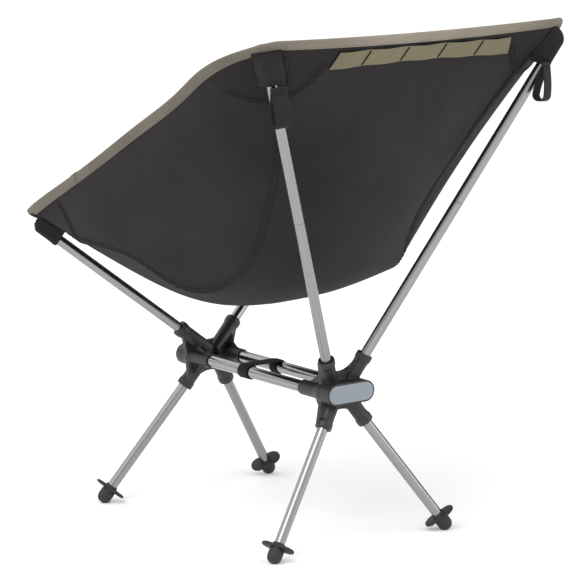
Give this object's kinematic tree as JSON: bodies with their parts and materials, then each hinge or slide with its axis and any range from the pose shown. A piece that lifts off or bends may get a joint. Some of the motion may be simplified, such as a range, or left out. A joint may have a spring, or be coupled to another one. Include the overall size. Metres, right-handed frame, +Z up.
{
  "type": "ultralight backpacking chair",
  "caption": "Low pole-framed camp chair: two plastic hubs, joined by crossbars, hold splayed legs and poles whose tips stretch a bucket-shaped fabric sling.",
  "frame": {"origin": "on the ground, under the middle of the whole outline", "axes": "+Z up, +Y the way the sitter faces, +X to the sitter's right"},
  "size_m": [0.5072, 0.5198, 0.6407],
  "materials": {
    "hub_plastic": "fine-textured moulded nylon",
    "badge": "satin inlay",
    "anodised_grey": "satin anodised",
    "bright_aluminium": "bright anodised",
    "foot_rubber": "matt rubber",
    "tip_plastic": "satin moulded nylon",
    "shock_cord": "braided cord",
    "sling_cloth": "woven ripstop",
    "binding": "folded woven tape",
    "webbing_khaki": "woven webbing",
    "webbing_black": "woven webbing"
  },
  "bodies": {
    "frame": {"hub_front": "hub_plastic", "badge_front": "badge", "hub_rear": "hub_plastic", "badge_rear": "badge", "crossbar_left": "bright_aluminium", "crossbar_right": "bright_aluminium", "middle_panel": "sling_cloth", "side_panel_left": "sling_cloth", "side_panel_right": "sling_cloth", "side_binding_left": "binding", "side_binding_right": "binding", "side_tab_left": "binding", "side_tab_right": "binding", "top_binding": "binding", "front_hem": "binding", "daisy_chain": "webbing_khaki"},
    "keeper": {"keeper_strap": "webbing_black"},
    "leg_front_left": {"leg_tube_front_left": "anodised_grey", "leg_cord_front_left": "shock_cord", "foot_front_left": "foot_rubber"},
    "leg_front_right": {"leg_tube_front_right": "anodised_grey", "leg_cord_front_right": "shock_cord", "foot_front_right": "foot_rubber"},
    "leg_rear_left": {"leg_tube_rear_left": "anodised_grey", "leg_cord_rear_left": "shock_cord", "foot_rear_left": "foot_rubber"},
    "leg_rear_right": {"leg_tube_rear_right": "anodised_grey", "leg_cord_rear_right": "shock_cord", "foot_rear_right": "foot_rubber"},
    "seat_pole_left": {"seat_pole_left": "anodised_grey", "seat_pole_cord_left": "shock_cord", "seat_pole_tip_left": "tip_plastic", "front_pocket_left": "sling_cloth", "front_corner_left": "sling_cloth"},
    "seat_pole_right": {"seat_pole_right": "anodised_grey", "seat_pole_cord_right": "shock_cord", "seat_pole_tip_right": "tip_plastic", "front_pocket_right": "sling_cloth", "front_corner_right": "sling_cloth"},
    "back_pole_left": {"back_pole_lower_left": "anodised_grey", "back_pole_upper_left": "anodised_grey", "back_pole_ferrule_left": "anodised_grey", "back_pole_cord_left": "shock_cord", "back_pole_tip_left": "tip_plastic", "rear_pocket_left": "sling_cloth", "rear_corner_left": "sling_cloth"},
    "pull_tab_left": {"pull_tab_left": "webbing_black"},
    "back_pole_right": {"back_pole_lower_right": "anodised_grey", "back_pole_upper_right": "anodised_grey", "back_pole_ferrule_right": "anodised_grey", "back_pole_cord_right": "shock_cord", "back_pole_tip_right": "tip_plastic", "rear_pocket_right": "sling_cloth", "rear_corner_right": "sling_cloth"},
    "pull_tab_right": {"pull_tab_right": "webbing_black"}
  },
  "joints": [
    {"name": "keeper_slide", "type": "slide", "parent": "frame", "child": "keeper", "axis": [0, 1, 0], "range_m": [-0.107, 0.067]},
    {"name": "leg_front_left_slide", "type": "slide", "parent": "frame", "child": "leg_front_left", "axis": [-0.5488, 0.2448, -0.7993], "range_m": [0, 0.036], "stiffness_N_per_m": 100, "springref_m": -0.05},
    {"name": "leg_front_right_slide", "type": "slide", "parent": "frame", "child": "leg_front_right", "axis": [0.5488, 0.2448, -0.7993], "range_m": [0, 0.036], "stiffness_N_per_m": 100, "springref_m": -0.05},
    {"name": "leg_rear_left_slide", "type": "slide", "parent": "frame", "child": "leg_rear_left", "axis": [-0.5679, -0.1912, -0.8006], "range_m": [0, 0.036], "stiffness_N_per_m": 100, "springref_m": -0.05},
    {"name": "leg_rear_right_slide", "type": "slide", "parent": "frame", "child": "leg_rear_right", "axis": [0.5679, -0.1912, -0.8006], "range_m": [0, 0.036], "stiffness_N_per_m": 100, "springref_m": -0.05},
    {"name": "seat_pole_left_slide", "type": "slide", "parent": "frame", "child": "seat_pole_left", "axis": [-0.7528, 0.2166, 0.6216], "range_m": [0, 0.036], "stiffness_N_per_m": 300, "springref_m": -0.05},
    {"name": "back_pole_left_slide", "type": "slide", "parent": "frame", "child": "back_pole_left", "axis": [-0.4095, -0.315, 0.8562], "range_m": [0, 0.036], "stiffness_N_per_m": 300, "springref_m": -0.05},
    {"name": "pull_tab_left_swing", "type": "hinge", "parent": "back_pole_left", "child": "pull_tab_left", "pos_m": [-0.1926, -0.24589, 0.5885], "axis": [-0.9798, 0.2, 0], "range_deg": [-10, 100]},
    {"name": "seat_pole_right_slide", "type": "slide", "parent": "frame", "child": "seat_pole_right", "axis": [0.7528, 0.2166, 0.6216], "range_m": [0, 0.036], "stiffness_N_per_m": 300, "springref_m": -0.05},
    {"name": "back_pole_right_slide", "type": "slide", "parent": "frame", "child": "back_pole_right", "axis": [0.4095, -0.315, 0.8562], "range_m": [0, 0.036], "stiffness_N_per_m": 300, "springref_m": -0.05},
    {"name": "pull_tab_right_swing", "type": "hinge", "parent": "back_pole_right", "child": "pull_tab_right", "pos_m": [0.1926, -0.24589, 0.5885], "axis": [-0.9798, -0.2, 0], "range_deg": [-10, 100]}
  ]
}
